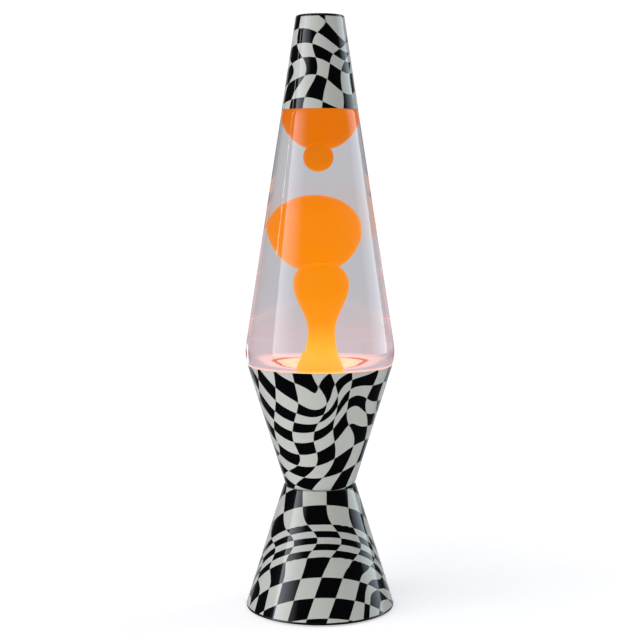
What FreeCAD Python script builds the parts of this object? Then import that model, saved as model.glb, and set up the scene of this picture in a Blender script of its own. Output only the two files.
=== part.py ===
import FreeCAD, Part
import Sketcher
import math
import os
from FreeCAD import Placement, Rotation, Vector

# Motion lamp: a tapered glass globe of clear fluid and coloured wax, standing in an
# hourglass sheet-metal base over a small incandescent bulb, under a tapered metal cap.
# Frame: millimetres, +Z up, origin at the middle of the footprint, front towards -Y.

os.makedirs("parts", exist_ok=True)
doc = FreeCAD.newDocument("motion_lamp")

# ---------------------------------------------------------------- driving dimensions
sheet = doc.addObject("Spreadsheet::Sheet", "dims")
DIMS = [
    ("overall_height", 368.3, "floor to top of cap"),
    ("cap_edge_z", 311.0, "open lower edge of the cap"),
    ("cap_edge_radius", 23.55, "outside radius at that edge"),
    ("cap_top_radius", 14.85, "outside radius just under the top rounding"),
    ("cap_top_round", 1.7, "rounding of the cap's top corner"),
    ("cap_sheet", 0.8, "cap sheet, measured across"),
    ("rim_z", 153.8, "rim of the cup"),
    ("rim_radius", 45.1, "outside radius at the rim"),
    ("cup_floor_z", 74.6, "underside of the cup's floor flange"),
    ("cup_floor_radius", 20.65, "outside radius of the cup at its floor"),
    ("cup_sheet", 0.84, "cup sheet, measured across"),
    ("cup_floor_hole", 14.3, "radius of the hole in the cup's floor"),
    ("flange_sheet", 0.8, "floor flange thickness"),
    ("waist_z", 77.95, "top edge of the lower cone"),
    ("waist_radius", 22.65, "outside radius of the lower cone at its top edge"),
    ("foot_radius", 46.6, "outside radius of the lower cone at its foot"),
    ("cone_sheet", 0.7, "lower cone sheet, measured across"),
    ("hem_z", 0.8, "underside of the rolled hem"),
    ("hem_width", 2.7, "inward reach of the hem"),
    ("belly_radius", 46.35, "largest radius of the globe"),
    ("belly_z", 162.6, "height of the largest radius"),
    ("globe_bottom_z", 128.5, "underside of the globe"),
    ("glass_wall", 2.3, "glass wall, measured across"),
    ("neck_radius", 12.9, "neck of the globe"),
    ("lip_z", 345.6, "top of the glass lip"),
    ("fill_z", 320.6, "level of the fluid"),
    ("plate_z", 73.3, "underside of the tie plate"),
    ("plate_thick", 1.2, "tie plate thickness"),
    ("plate_radius", 22.7, "tie plate radius"),
    ("screw_circle", 17.0, "radius of the circle of tie screws"),
    ("screw_radius", 1.5, "tie screw shank radius"),
    ("holder_radius", 12.8, "lampholder body radius"),
    ("holder_neck", 11.0, "lampholder neck radius"),
    ("holder_bottom_z", 52.0, "underside of the lampholder"),
    ("holder_top_z", 87.5, "mouth of the lampholder"),
    ("thread_pitch", 2.822, "pitch of the intermediate screw base"),
    ("thread_root", 7.6, "root radius of the bulb's screw shell"),
    ("thread_crest", 8.3, "crest radius of the bulb's screw shell"),
    ("thread_gap", 0.15, "radial gap between the two screw shells"),
    ("bulb_tip_z", 65.0, "underside of the bulb's centre contact"),
    ("bulb_top_z", 123.0, "top of the bulb"),
    ("bulb_radius", 17.4, "largest radius of the bulb"),
    ("bulb_glass", 0.7, "bulb glass thickness"),
    ("base_plate_z", 1.6, "underside of the bottom cover"),
    ("base_plate_radius", 44.6, "bottom cover radius"),
    ("base_plate_thick", 1.6, "bottom cover thickness"),
    ("pad_radius", 5.0, "rubber foot radius"),
    ("pad_circle", 35.5, "radius of the circle of feet"),
    ("grommet_z", 14.0, "height of the lead's gland in the lower cone"),
    ("grommet_bore", 2.8, "bore of the gland"),
    ("gland_hole", 4.96, "corner radius of the six-sided hole for the gland"),
    ("film", 0.3, "fluid film between wax and glass, and round the drifting wax"),
    ("crest_tall", 17.2, "half height of the wax drop under the cap"),
    ("crest_wide", 16.4, "half width of that drop"),
    ("crest_deep", 15.8, "half depth of that drop"),
    ("crest_z", 302.8, "height of its middle"),
    ("ball_tall", 8.9, "half height of the small wax ball"),
    ("ball_wide", 8.1, "half width of the small wax ball"),
    ("ball_z", 282.6, "height of its middle"),
    ("blob_tall", 24.8, "half height of the large wax blob"),
    ("blob_wide", 21.6, "half width of the large wax blob"),
    ("blob_deep", 19.6, "half depth of the large wax blob"),
    ("blob_z", 234.4, "height of its middle"),
    ("coil_radius", 26.0, "radius of the wire coil in the pool"),
    ("coil_wire", 0.95, "corner radius of its eight-sided wire"),
    ("coil_z", 137.4, "height of its first turn"),
    ("coil_pitch", 2.5, "pitch of its turns"),
]
for row, (alias, value, note) in enumerate(DIMS, start=1):
    sheet.set("A%d" % row, alias)
    sheet.set("B%d" % row, str(value))
    sheet.setAlias("B%d" % row, alias)
    sheet.set("C%d" % row, note)
doc.recompute()


class E:
    """A length as a number together with the expression that gives it from the sheet."""

    def __init__(self, v, t):
        self.v, self.t = float(v), t

    @staticmethod
    def of(o):
        return o if isinstance(o, E) else E(o, repr(float(o)))

    def __add__(self, o):
        o = E.of(o)
        return E(self.v + o.v, "(%s + %s)" % (self.t, o.t))

    __radd__ = __add__

    def __sub__(self, o):
        o = E.of(o)
        return E(self.v - o.v, "(%s - %s)" % (self.t, o.t))

    def __rsub__(self, o):
        return E.of(o) - self

    def __mul__(self, o):
        o = E.of(o)
        return E(self.v * o.v, "(%s * %s)" % (self.t, o.t))

    __rmul__ = __mul__

    def __truediv__(self, o):
        o = E.of(o)
        return E(self.v / o.v, "(%s / %s)" % (self.t, o.t))


D = {alias: E(value, "dims." + alias) for alias, value, _ in DIMS}
FINAL = []  # the objects that are sub-parts, by Label


# ---------------------------------------------------------------- helpers
def new_body(label):
    b = doc.addObject("PartDesign::Body", label)
    b.Label = label
    return b


def role(body, name):
    return [f for f in body.Origin.OriginFeatures if f.Role == name][0]


def bind(obj, prop, e):
    e = E.of(e)
    if "dims." in e.t:
        obj.setExpression(prop, e.t)


def new_sketch(body, name, plane="XZ_Plane", offset=None):
    sk = body.newObject("Sketcher::SketchObject", name)
    sk.AttachmentSupport = [(role(body, plane), "")]
    sk.MapMode = "FlatFace"
    if offset is not None:
        offset = E.of(offset)
        sk.AttachmentOffset = Placement(Vector(0, 0, offset.v), Rotation())
        bind(sk, "AttachmentOffset.Base.z", offset)
    return sk


def pin_point(sk, geo, pos, x, y):
    """Fixes one sketch point at (x, y) with named, bound distances."""
    x, y = E.of(x), E.of(y)
    for kind, e, axis in (("DistanceX", x, -2), ("DistanceY", y, -1)):
        if abs(e.v) < 1e-9:
            sk.addConstraint(Sketcher.Constraint("PointOnObject", geo, pos, axis))
        else:
            i = sk.addConstraint(Sketcher.Constraint(kind, -1, 1, geo, pos, e.v))
            bind(sk, "Constraints[%d]" % i, e)


def outline(sk, pts):
    """A closed outline. Each item is (x, y) or (x, y, radius, turn): then the side that leaves it is an arc
    of that radius, bending left (+1) or right (-1) of the way it goes."""
    n = len(pts)
    ends = []
    base = sk.GeometryCount
    for i in range(n):
        p, q = pts[i], pts[(i + 1) % n]
        a = Vector(E.of(p[0]).v, E.of(p[1]).v, 0)
        b = Vector(E.of(q[0]).v, E.of(q[1]).v, 0)
        if len(p) > 2:
            r, turn = E.of(p[2]), p[3]
            half = (b - a).Length / 2
            if r.v < half:
                raise ValueError("arc radius %.3f is under half its chord %.3f" % (r.v, half))
            left = Vector(-(b - a).y, (b - a).x, 0).normalize()
            c = (a + b) * 0.5 + left * (turn * math.sqrt(r.v**2 - half**2))
            a0 = math.atan2(a.y - c.y, a.x - c.x)
            a1 = math.atan2(b.y - c.y, b.x - c.x)
            if turn > 0:  # anticlockwise from a to b
                if a1 < a0:
                    a1 += 2 * math.pi
                sk.addGeometry(Part.ArcOfCircle(Part.Circle(c, Vector(0, 0, 1), r.v), a0, a1), False)
                ends.append((1, 2))
            else:
                if a0 < a1:
                    a0 += 2 * math.pi
                sk.addGeometry(Part.ArcOfCircle(Part.Circle(c, Vector(0, 0, 1), r.v), a1, a0), False)
                ends.append((2, 1))
        else:
            sk.addGeometry(Part.LineSegment(a, b), False)
            ends.append((1, 2))
    for i in range(n):
        j = (i + 1) % n
        sk.addConstraint(Sketcher.Constraint("Coincident", base + i, ends[i][1], base + j, ends[j][0]))
    for i in range(n):
        pin_point(sk, base + i, ends[i][0], pts[i][0], pts[i][1])
        if len(pts[i]) > 2:
            k = sk.addConstraint(Sketcher.Constraint("Radius", base + i, E.of(pts[i][2]).v))
            bind(sk, "Constraints[%d]" % k, pts[i][2])


def circle(sk, x, y, r):
    x, y, r = E.of(x), E.of(y), E.of(r)
    g = sk.addGeometry(Part.Circle(Vector(x.v, y.v, 0), Vector(0, 0, 1), r.v), False)
    k = sk.addConstraint(Sketcher.Constraint("Radius", g, r.v))
    bind(sk, "Constraints[%d]" % k, r)
    pin_point(sk, g, 3, x, y)
    return g


def revolve(body, sk, name="turned"):
    f = body.newObject("PartDesign::Revolution", name)
    f.Profile = sk
    f.ReferenceAxis = (sk, ["V_Axis"])
    f.Angle = 360
    body.Tip = f
    doc.recompute()
    return f


def turned(label, pts):
    """A sub-part turned about Z from one outline in the XZ plane."""
    b = new_body(label)
    sk = new_sketch(b, label + "_outline")
    outline(sk, pts)
    revolve(b, sk)
    return b


def pad(body, sk, length, name="pad", reverse=False):
    f = body.newObject("PartDesign::Pad", name)
    f.Profile = sk
    length = E.of(length)
    f.Length = length.v
    bind(f, "Length", length)
    f.Reversed = reverse
    body.Tip = f
    doc.recompute()
    return f


def pocket(body, sk, length, name="pocket", reverse=False):
    """Cuts towards -Z of the sketch, or +Z if reversed, and checks that something was cut."""
    before = body.Shape.Volume
    f = body.newObject("PartDesign::Pocket", name)
    f.Profile = sk
    length = E.of(length)
    f.Length = length.v
    bind(f, "Length", length)
    f.Reversed = reverse
    body.Tip = f
    doc.recompute()
    if not body.Shape.Volume < before - 1e-3:
        raise RuntimeError("%s in %s cuts nothing" % (name, body.Label))
    return f


def polar(body, features, count, name="around"):
    f = body.newObject("PartDesign::PolarPattern", name)
    f.Originals = features
    f.Axis = (role(body, "Z_Axis"), [""])
    f.Angle = 360
    f.Occurrences = count
    body.Tip = f
    doc.recompute()
    return f


def helix(body, sk, height, cut=False, name="thread", pitch=None):
    f = body.newObject("PartDesign::%sHelix" % ("Subtractive" if cut else "Additive"), name)
    f.Profile = sk
    f.ReferenceAxis = (sk, ["V_Axis"])
    f.Mode = 0
    pitch, height = E.of(D["thread_pitch"] if pitch is None else pitch), E.of(height)
    f.Pitch, f.Height = pitch.v, height.v
    bind(f, "Pitch", pitch)
    bind(f, "Height", height)
    body.Tip = f
    doc.recompute()
    return f


def part_of(kind, label, **props):
    o = doc.addObject("Part::" + kind, label)
    o.Label = label
    for k, v in props.items():
        if k == "Placement":
            o.Placement = v
        elif isinstance(v, E):
            setattr(o, k, v.v)
            bind(o, k, v)
        else:
            setattr(o, k, v)
    return o


def keep(o, label=None):
    if label:
        o.Label = label
    FINAL.append(o)
    return o


def around(label, source, count, start=0.0):
    """Equal pieces set round the axis, as one group of separate solids."""
    doc.recompute()
    group = []
    for k in range(count):
        s = source.Shape.copy()
        s.rotate(Vector(0, 0, 0), Vector(0, 0, 1), start + 360.0 * k / count)
        group += s.Solids
    f = doc.addObject("Part::Feature", label)
    f.Label = label
    f.Shape = Part.makeCompound(group)
    return keep(f)


# ---------------------------------------------------------------- cap
top, cs = D["overall_height"], D["cap_sheet"]
cz, cr, ct, cround = D["cap_edge_z"], D["cap_edge_radius"], D["cap_top_radius"], D["cap_top_round"]
keep(turned("cap_shell", [
    (cr - cs, cz + 0.1),
    (cr - cs + 0.1, cz + 0.0),
    (cr, cz + 0.0),                                   # folded lower edge
    (ct, top - cround, cround * 1.06, 1),             # up the taper, then round the corner
    (ct - cround * 0.94, top - 0.2, 440.0, 1),        # very slightly domed top
    (1.5, top + 0.0),
    (0, top + 0.0),
    (0, top - cs),
    (ct - cround, top - cs - 0.2, cround * 0.74, -1),
    (ct - cs - 0.05, top - cround - 0.25),
]))

# ---------------------------------------------------------------- globe
br, bz, gw = D["belly_radius"], D["belly_z"], D["glass_wall"]
gb, nr, lz, fz = D["globe_bottom_z"], D["neck_radius"], D["lip_z"], D["fill_z"]
OUTER = [
    (0, gb + 2.1),
    (24.0, gb + 0.8),
    (28.0, gb + 0.0),
    (32.6, gb + 0.0, 4.6, 1),                         # rounded heel
    (36.9, gb + 3.1),
    (43.62, D["rim_z"] - 0.5),                        # lower taper, inside the cup
    (43.72, D["rim_z"] + 0.25),
    (D["rim_radius"] - 0.12, D["rim_z"] + 0.3, 28.0, 1),  # ledge over the rim, then the belly
    (br, bz + 0.0, 26.0, 1),
    (br - 0.3, bz + 4.0),
    (cr + 0.2, cz - 0.75, 0.75, 1),                   # long upper taper
    (cr - 0.3, cz - 0.3),
    (cr - 1.25, cz - 0.3),                            # ledge under the cap
    (20.65, 321.0, 13.0, 1),
    (15.2, 329.2, 3.6, -1),
    (nr + 0.0, 333.2),
    (nr + 0.0, lz - 7.0),
    (nr + 0.5, lz - 6.2),
    (nr + 0.5, lz - 3.7),
    (nr + 0.1, lz - 3.2),
    (nr + 0.1, lz - 1.1, 1.15, 1),
    (nr - 1.0, lz + 0.0),
]
INNER = [
    (9.2, lz + 0.0),
    (9.2, 333.6, 6.4, 1),
    (13.4, 327.4, 10.5, -1),
    (18.0, fz + 0.0),
    (cr - gw + 0.2, cz - 1.0),
    (br - 0.3 - gw, bz + 4.0, 24.0, -1),
    (br - gw, bz + 0.0, 27.0, -1),
    (42.55, 153.6),
    (40.6, 150.6),
    (35.3, 134.3, 4.2, -1),
    (31.4, 131.7),
    (0, 133.5),
]
keep(turned("globe_glass", OUTER + INNER))

# steel crown closure and its liner
keep(turned("crown_liner", [(0, lz + 0.0), (12.4, lz + 0.0), (12.4, lz + 0.8), (0, lz + 0.8)]))
crown = new_body("crown_cap")
sk = new_sketch(crown, "crown_outline")
outline(sk, [
    (0, lz + 0.8), (12.5, lz + 0.8), (13.2, lz + 0.1), (13.55, lz - 2.6), (13.7, lz - 4.9),
    (15.9, lz - 4.9), (16.0, lz - 4.4), (14.9, lz - 0.6, 2.2, 1), (12.7, lz + 1.15), (0, lz + 1.15)])
revolve(crown, sk)
sk = new_sketch(crown, "crown_flute", "XY_Plane", lz - 0.9)
circle(sk, 17.0, 0, 1.9)
flute = pocket(crown, sk, 5.0, "flute")
polar(crown, [flute], 21)
keep(crown)

# ---------------------------------------------------------------- wax
# crest: wax gathered under the cap, filling the globe's bore but for a film of fluid
film = D["film"]
crest_bore = turned("crest_bore", [
    (0, 300.5), (15.5, 300.5, 7.0, 1), (cr - gw + 0.2 - film + 0.95, cz - 6.8),
    (cr - gw + 0.2 - film, cz - 1.0), (18.0 - film, fz - 0.6), (0, fz - 0.6)])
crest_drop = part_of("Ellipsoid", "crest_drop", Radius1=D["crest_tall"], Radius2=D["crest_wide"], Radius3=D["crest_deep"],
                     Placement=Placement(Vector(-0.2, 4.6, 302.8), Rotation()))
bind(crest_drop, "Placement.Base.z", D["crest_z"])
doc.recompute()
crest = part_of("Fuse", "wax_crest", Base=crest_bore, Tool=crest_drop)
keep(crest)

ball = part_of("Ellipsoid", "wax_ball", Radius1=D["ball_tall"], Radius2=D["ball_wide"], Radius3=D["ball_wide"],
               Placement=Placement(Vector(-1.0, -12.2, 282.6), Rotation()))
bind(ball, "Placement.Base.z", D["ball_z"])
keep(ball)
blob = part_of("Ellipsoid", "wax_blob", Radius1=D["blob_tall"], Radius2=D["blob_wide"], Radius3=D["blob_deep"],
               Placement=Placement(Vector(-2.0, 9.0, 234.4), Rotation()))
bind(blob, "Placement.Base.z", D["blob_z"])
keep(blob)

# pool and rising column
pool = turned("pool_body", [
    (0, 133.5 + film), (31.3, 131.7 + film, 4.0, 1), (35.2 - film, 134.5),
    (39.8, 150.2), (38.6, 152.4), (22.0, 155.0, 24.0, -1), (9.2, 162.2), (0, 162.2)])
column = new_body("column_body")
rings = []
for k, (z, y, r) in enumerate([(152.0, 0.0, 11.0), (158.0, -0.8, 8.4), (166.0, -2.6, 6.9), (176.0, -6.0, 6.6),
                               (186.0, -10.2, 9.2), (195.0, -13.8, 13.2), (203.0, -15.6, 14.8),
                               (210.5, -16.0, 13.0), (215.2, -16.1, 8.6), (217.6, -16.1, 2.2)]):
    s = new_sketch(column, "ring%d" % k, "XY_Plane", z)
    g = s.addGeometry(Part.Circle(Vector(0.3, y, 0), Vector(0, 0, 1), r), False)
    s.addConstraint(Sketcher.Constraint("Radius", g, r))
    rings.append(s)
loft = column.newObject("PartDesign::AdditiveLoft", "column_loft")
loft.Profile = rings[0]
loft.Sections = rings[1:]
loft.Ruled = False
column.Tip = loft
doc.recompute()
riser = part_of("Fuse", "riser", Base=pool, Tool=column)

# loose coil of steel wire in the pool, which gathers the wax again
coil = new_body("pool_coil")
sk = new_sketch(coil, "coil_wire")
corners = [math.radians(45 * k + 22.5) for k in range(8)]
outline(sk, [(D["coil_radius"] + D["coil_wire"] * math.cos(a), D["coil_z"] + D["coil_wire"] * math.sin(a)) for a in corners])
helix(coil, sk, 6.25, name="coil_turns", pitch=D["coil_pitch"])
keep(coil)
coil_room = turned("coil_room", [(24.8, 135.95), (27.2, 135.95), (27.2, 145.05), (24.8, 145.05)])
wax_column = part_of("Cut", "wax_column", Base=riser, Tool=coil_room)
keep(wax_column)

# clear fluid: the globe's bore less the wax, with room round the pieces that drift
bore_fill = turned("bore_fill", [
    (0, 133.5), (31.4, 131.7, 4.2, 1), (35.3, 134.3), (40.6, 150.6), (42.55, 153.6, 27.0, 1),
    (br - gw, bz + 0.0, 24.0, 1), (br - 0.3 - gw, bz + 4.0), (cr - gw + 0.2, cz - 1.0), (18.0, fz + 0.0), (0, fz + 0.0)])
ball_room = part_of("Ellipsoid", "ball_room", Radius1=D["ball_tall"] + film, Radius2=D["ball_wide"] + film,
                    Radius3=D["ball_wide"] + film, Placement=Placement(ball.Placement))
bind(ball_room, "Placement.Base.z", D["ball_z"])
blob_room = part_of("Ellipsoid", "blob_room", Radius1=D["blob_tall"] + film, Radius2=D["blob_wide"] + film,
                    Radius3=D["blob_deep"] + film, Placement=Placement(blob.Placement))
bind(blob_room, "Placement.Base.z", D["blob_z"])
riser2 = part_of("Fuse", "riser_room", Base=pool, Tool=column)
rooms = part_of("MultiFuse", "rooms", Shapes=[ball_room, blob_room])
less1 = part_of("Cut", "fluid_less_bore", Base=bore_fill, Tool=crest_bore)
less2 = part_of("Cut", "fluid_less_drop", Base=less1, Tool=crest_drop)
less3 = part_of("Cut", "fluid_less_riser", Base=less2, Tool=riser2)
fluid = part_of("Cut", "clear_fluid", Base=less3, Tool=rooms)
keep(fluid)
doc.recompute()

# ---------------------------------------------------------------- base: cup, cone, tie plate
rz, rr, cfz, cfr, cu, fl = (D[k] for k in ("rim_z", "rim_radius", "cup_floor_z", "cup_floor_radius", "cup_sheet", "flange_sheet"))
sc, scr = D["screw_circle"], D["screw_radius"]
cup = new_body("cup_shell")
sk = new_sketch(cup, "cup_outline")
outline(sk, [
    (D["cup_floor_hole"], cfz + 0.0), (cfr - 0.5, cfz + 0.0, 0.55, 1), (cfr, cfz + 0.5),
    (rr, rz - 0.42, 0.46, 1), (rr - cu * 0.5, rz + 0.0, 0.46, 1), (rr - cu, rz - 0.42),
    (cfr - cu + 0.3, cfz + fl + 0.4, 0.6, -1), (cfr - cu - 0.2, cfz + fl), (D["cup_floor_hole"], cfz + fl)])
revolve(cup, sk)
sk = new_sketch(cup, "cup_screw_hole", "XY_Plane", cfz + fl + 1.0)
circle(sk, sc, 0, scr + 0.15)
hole = pocket(cup, sk, 3.0, "screw_hole")
polar(cup, [hole], 3)
keep(cup)

wz, wr, fr, co, hz, hw = (D[k] for k in ("waist_z", "waist_radius", "foot_radius", "cone_sheet", "hem_z", "hem_width"))
cone_turned = turned("cone_turned", [
    (fr - 0.9, hz + 0.0, 0.85, 1), (fr, hz + 0.75),            # rolled foot
    (wr + 0.22, wz - 0.75, 0.8, 1), (wr - 0.3, wz + 0.0),      # up the cone, rounded collar
    (wr - co, wz - 0.05), (wr - co, wz - 0.5),
    (fr - co - 0.12, hz + 1.2, 0.5, -1), (fr - co - 0.5, hz + 0.7),
    (fr - hw, hz + 0.7), (fr - hw, hz + 0.0)])
gz = D["grommet_z"]
slope = math.atan2(46.6 - 22.87, 77.2 - 1.55)                  # lean of the cone's side
wall_r = 46.6 + (22.87 - 46.6) * (14.0 - 1.55) / (77.2 - 1.55)  # outside radius at the gland
gland_axis = Vector(0, math.cos(slope), math.sin(slope))
turn = Rotation(Vector(0, 0, 1), gland_axis)
mid = Vector(0, wall_r, 14.0) - gland_axis * 0.35              # middle of the sheet there
# a six-sided hole keeps the gland from turning
punch = part_of("Prism", "gland_punch", Polygon=6, Circumradius=D["gland_hole"], Height=8.0, Placement=Placement(mid - gland_axis * 4.0, turn))
cone = part_of("Cut", "cone_shell", Base=cone_turned, Tool=punch)
keep(cone)

# gland: flanged bush, groove fits the edge of the hole
gland = new_body("cord_grommet")
sk = new_sketch(gland, "gland_outline")
gbore = D["grommet_bore"]
outline(sk, [
    (gbore, 0.6), (gbore + 0.4, 0.2), (5.6, 0.2), (5.6, 1.4), (4.2, 1.7), (4.2, 3.35),
    (6.0, 3.35), (6.0, 4.1, 0.9, 1), (5.1, 5.0), (gbore + 0.5, 5.0, 0.55, 1), (gbore, 4.5)])
revolve(gland, sk)
sk = new_sketch(gland, "gland_neck", "XY_Plane", 1.4)
neck_r = D["gland_hole"] - 0.11
outline(sk, [(neck_r * math.cos(math.radians(60 * k)), neck_r * math.sin(math.radians(60 * k))) for k in range(6)])
circle(sk, 0, 0, gbore)
pad(gland, sk, 1.95, name="neck")
gland.Placement = Placement(mid - gland_axis * 2.9, turn)
keep(gland)

pz, pt, pr = D["plate_z"], D["plate_thick"], D["plate_radius"]
plate = new_body("tie_plate")
sk = new_sketch(plate, "plate_round", "XY_Plane", pz)
circle(sk, 0, 0, pr)
circle(sk, 0, 0, D["holder_neck"] + 0.15)
pad(plate, sk, pt)
sk = new_sketch(plate, "plate_screw_hole", "XY_Plane", pz + pt + 0.5)
circle(sk, sc, 0, scr + 0.12)
h1 = pocket(plate, sk, pt + 1.0, "screw_hole")
sk = new_sketch(plate, "plate_vent", "XY_Plane", pz + pt + 0.5)
circle(sk, 7.6, 12.4, 1.5)
h2 = pocket(plate, sk, pt + 1.0, "vent")
polar(plate, [h1, h2], 3)
keep(plate)

# tie screws (pan heads on the cup's floor) and nuts under the plate
one = new_body("one_screw")
sk = new_sketch(one, "screw_outline")
zf = cfz + fl
outline(sk, [(0, zf - 6.6), (scr - 0.3, zf - 6.6), (scr, zf - 6.3), (scr, zf + 0.0), (2.3, zf + 0.0), (2.3, zf + 0.9, 0.9, 1),
             (1.5, zf + 1.6), (0, zf + 1.6)])
revolve(one, sk)
sk = new_sketch(one, "screw_slot", "XY_Plane", zf + 1.6)
outline(sk, [(-0.3, -3.0), (0.3, -3.0), (0.3, 3.0), (-0.3, 3.0)])
pocket(one, sk, 0.7, "slot")
one.Placement = Placement(Vector(D["screw_circle"].v, 0, 0), Rotation())
bind(one, "Placement.Base.x", D["screw_circle"])
around("tie_screws", one, 3)
nut = new_body("one_nut")
sk = new_sketch(nut, "nut_hex", "XY_Plane", pz - 2.3)
hexr = 5.5 / math.sqrt(3)
outline(sk, [(hexr * math.cos(math.radians(60 * k + 30)), hexr * math.sin(math.radians(60 * k + 30))) for k in range(6)])
circle(sk, 0, 0, scr + 0.03)
pad(nut, sk, 2.3)
nut.Placement = Placement(Vector(D["screw_circle"].v, 0, 0), Rotation())
bind(nut, "Placement.Base.x", D["screw_circle"])
around("tie_nuts", nut, 3)

# ---------------------------------------------------------------- lampholder
hb, ht, hr, hn = D["holder_bottom_z"], D["holder_top_z"], D["holder_radius"], D["holder_neck"]
holder = new_body("holder_body")
sk = new_sketch(holder, "holder_outline")
outline(sk, [
    (1.55, hb + 3.6), (4.6, hb + 3.6), (4.6, hb + 0.0), (hr - 1.0, hb + 0.0), (hr, hb + 1.0), (hr, pz + 0.0), (hn, pz + 0.0),
    (hn, ht - 0.5), (hn - 0.5, ht + 0.0), (9.6, ht + 0.0), (9.2, ht - 0.4), (9.2, 62.0), (4.0, 62.0), (4.0, 58.5), (1.55, 58.5)])
revolve(holder, sk)
# a pocket on each side seats a terminal
sk = new_sketch(holder, "terminal_seat", "XY_Plane", hb + 9.0)
outline(sk, [(10.4, -3.2), (15.0, -3.2), (15.0, 3.2), (10.4, 3.2)])
seat = pocket(holder, sk, 9.5, "terminal_seat_cut")
polar(holder, [seat], 2)
keep(holder)

ring = new_body("holder_ring")
sk = new_sketch(ring, "ring_round", "XY_Plane", pz + pt)
circle(sk, 0, 0, 13.9)
circle(sk, 0, 0, hn + 0.08)
pad(ring, sk, 4.2)
sk = new_sketch(ring, "ring_notch", "XY_Plane", pz + pt + 4.2)
circle(sk, 14.4, 0, 1.1)
notch = pocket(ring, sk, 3.2, "notch")
polar(ring, [notch], 18)
keep(ring)

# threaded shell of the holder: bore follows the bulb's thread with an even gap
root, crest_r, gap, pitch = D["thread_root"], D["thread_crest"], D["thread_gap"], D["thread_pitch"]
shell = new_body("socket_shell")
sk = new_sketch(shell, "shell_outline")
outline(sk, [(5.6, 62.05), (9.1, 62.05), (9.1, ht - 0.8), (root + gap + 0.25, ht - 0.8), (root + gap, ht - 1.1), (root + gap, 62.75), (5.6, 62.75)])
revolve(shell, sk)
sk = new_sketch(shell, "shell_groove")
outline(sk, [(root - 0.5, 68.6 - 1.28), (crest_r + gap, 68.6 - 0.52), (crest_r + gap, 68.6 + 0.52), (root - 0.5, 68.6 + 1.28)])
helix(shell, sk, 19.754, cut=True)
keep(shell)

# terminals: brass strips in the seats, with binding screws
def terminal(label, side):
    b = new_body(label)
    s = new_sketch(b, label + "_strip", "XY_Plane", hb + 0.6)
    outline(s, [(10.45, -2.6), (11.25, -2.6), (11.25, 2.6), (10.45, 2.6)])
    pad(b, s, 7.6)
    return b


strip = terminal("one_terminal", 1)
around("terminal_strips", strip, 2)
bind_screw = new_body("one_terminal_screw")
sk = new_sketch(bind_screw, "terminal_screw_outline")
outline(sk, [(0, 0), (2.3, 0), (2.3, 0.7, 0.7, 1), (1.6, 1.3), (0, 1.3)])
revolve(bind_screw, sk)
bind_screw.Placement = Placement(Vector(11.25, 0, hb.v + 4.2), Rotation(Vector(0, 1, 0), 90))
around("terminal_screws", bind_screw, 2)

# sprung centre contact, shown pressed by the bulb
tip = D["bulb_tip_z"]
keep(turned("centre_contact", [
    (0, hb + 0.0), (2.6, hb + 0.0), (2.6, hb + 0.6), (1.4, hb + 0.6), (1.4, tip - 1.1), (3.1, tip - 1.1), (3.1, tip - 0.4, 0.42, 1), (2.7, tip + 0.0), (0, tip + 0.0)]))
spring = new_body("contact_spring")
sk = new_sketch(spring, "spring_wire")
circle(sk, 2.75, 58.5 + 0.3, 0.24)
helix(spring, sk, 4.75, name="spring_turns", pitch=1.12)
keep(spring)

# ---------------------------------------------------------------- bulb
bt, bR, bgl = D["bulb_top_z"], D["bulb_radius"], D["bulb_glass"]
keep(turned("bulb_contact_tip", [(0, tip + 0.0), (1.5, tip + 0.0, 1.6, 1), (2.6, tip + 1.2), (0, tip + 1.2)]))
keep(turned("bulb_insulator", [(0, tip + 1.2), (3.4, tip + 1.2), (6.9, tip + 3.6), (6.9, tip + 5.2), (0, tip + 5.2)]))
screw_shell = new_body("bulb_screw_shell")
sk = new_sketch(screw_shell, "screw_shell_outline")
outline(sk, [
    (6.9, tip + 3.4), (root, tip + 4.0), (root, 87.0), (8.1, 87.6), (8.1, 89.6), (7.75, 89.6), (7.75, 87.8), (6.95, 86.9), (6.95, tip + 5.3)])
revolve(screw_shell, sk)
sk = new_sketch(screw_shell, "screw_shell_thread")
z0 = 71.422
outline(sk, [(root - 0.35, z0 - 1.05), (crest_r, z0 - 0.42), (crest_r, z0 + 0.42), (root - 0.35, z0 + 1.05)])
helix(screw_shell, sk, 10.5)
keep(screw_shell)
glass = new_body("bulb_envelope")
sk = new_sketch(glass, "envelope_outline")
outline(sk, [
    (6.2, 85.0), (6.75, 85.0), (6.75, 87.0), (7.5, 89.4), (9.4, 92.6), (14.9, 99.6, 14.0, 1), (bR, 106.2, 17.6, 1),
    (1.2, bt + 0.0), (0, bt + 0.0), (0, bt - bgl), (1.2, bt - bgl, 16.95, -1), (bR - bgl, 106.2, 13.3, -1), (14.3, 99.9), (8.8, 93.0), (6.9, 89.6), (6.2, 87.2)])
revolve(glass, sk)
keep(glass)
# stem: flared glass foot, pinched bead on top
keep(turned("bulb_stem", [
    (0, 86.0), (6.0, 86.0, 6.0, -1), (2.2, 90.2), (1.7, 97.6), (0, 97.6)]))
leads = []
for k, s in enumerate((-1, 1)):
    a, b = Vector(s * 0.9, 0, 97.8), Vector(s * 6.6, 0, 105.0)
    leads.append(part_of("Cylinder", "lead%d" % k, Radius=0.25, Height=(b - a).Length,
                         Placement=Placement(a, Rotation(Vector(0, 0, 1), b - a))))
keep(part_of("Compound", "bulb_leads", Links=leads))
fil = new_body("bulb_filament")
sk = new_sketch(fil, "filament_wire")
circle(sk, 0.62, 0.2, 0.16)
helix(fil, sk, 11.9, name="filament_turns", pitch=0.66)
fil.Placement = Placement(Vector(-6.15, 0, 105.95), Rotation(Vector(0, 1, 0), 90))
keep(fil)

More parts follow.
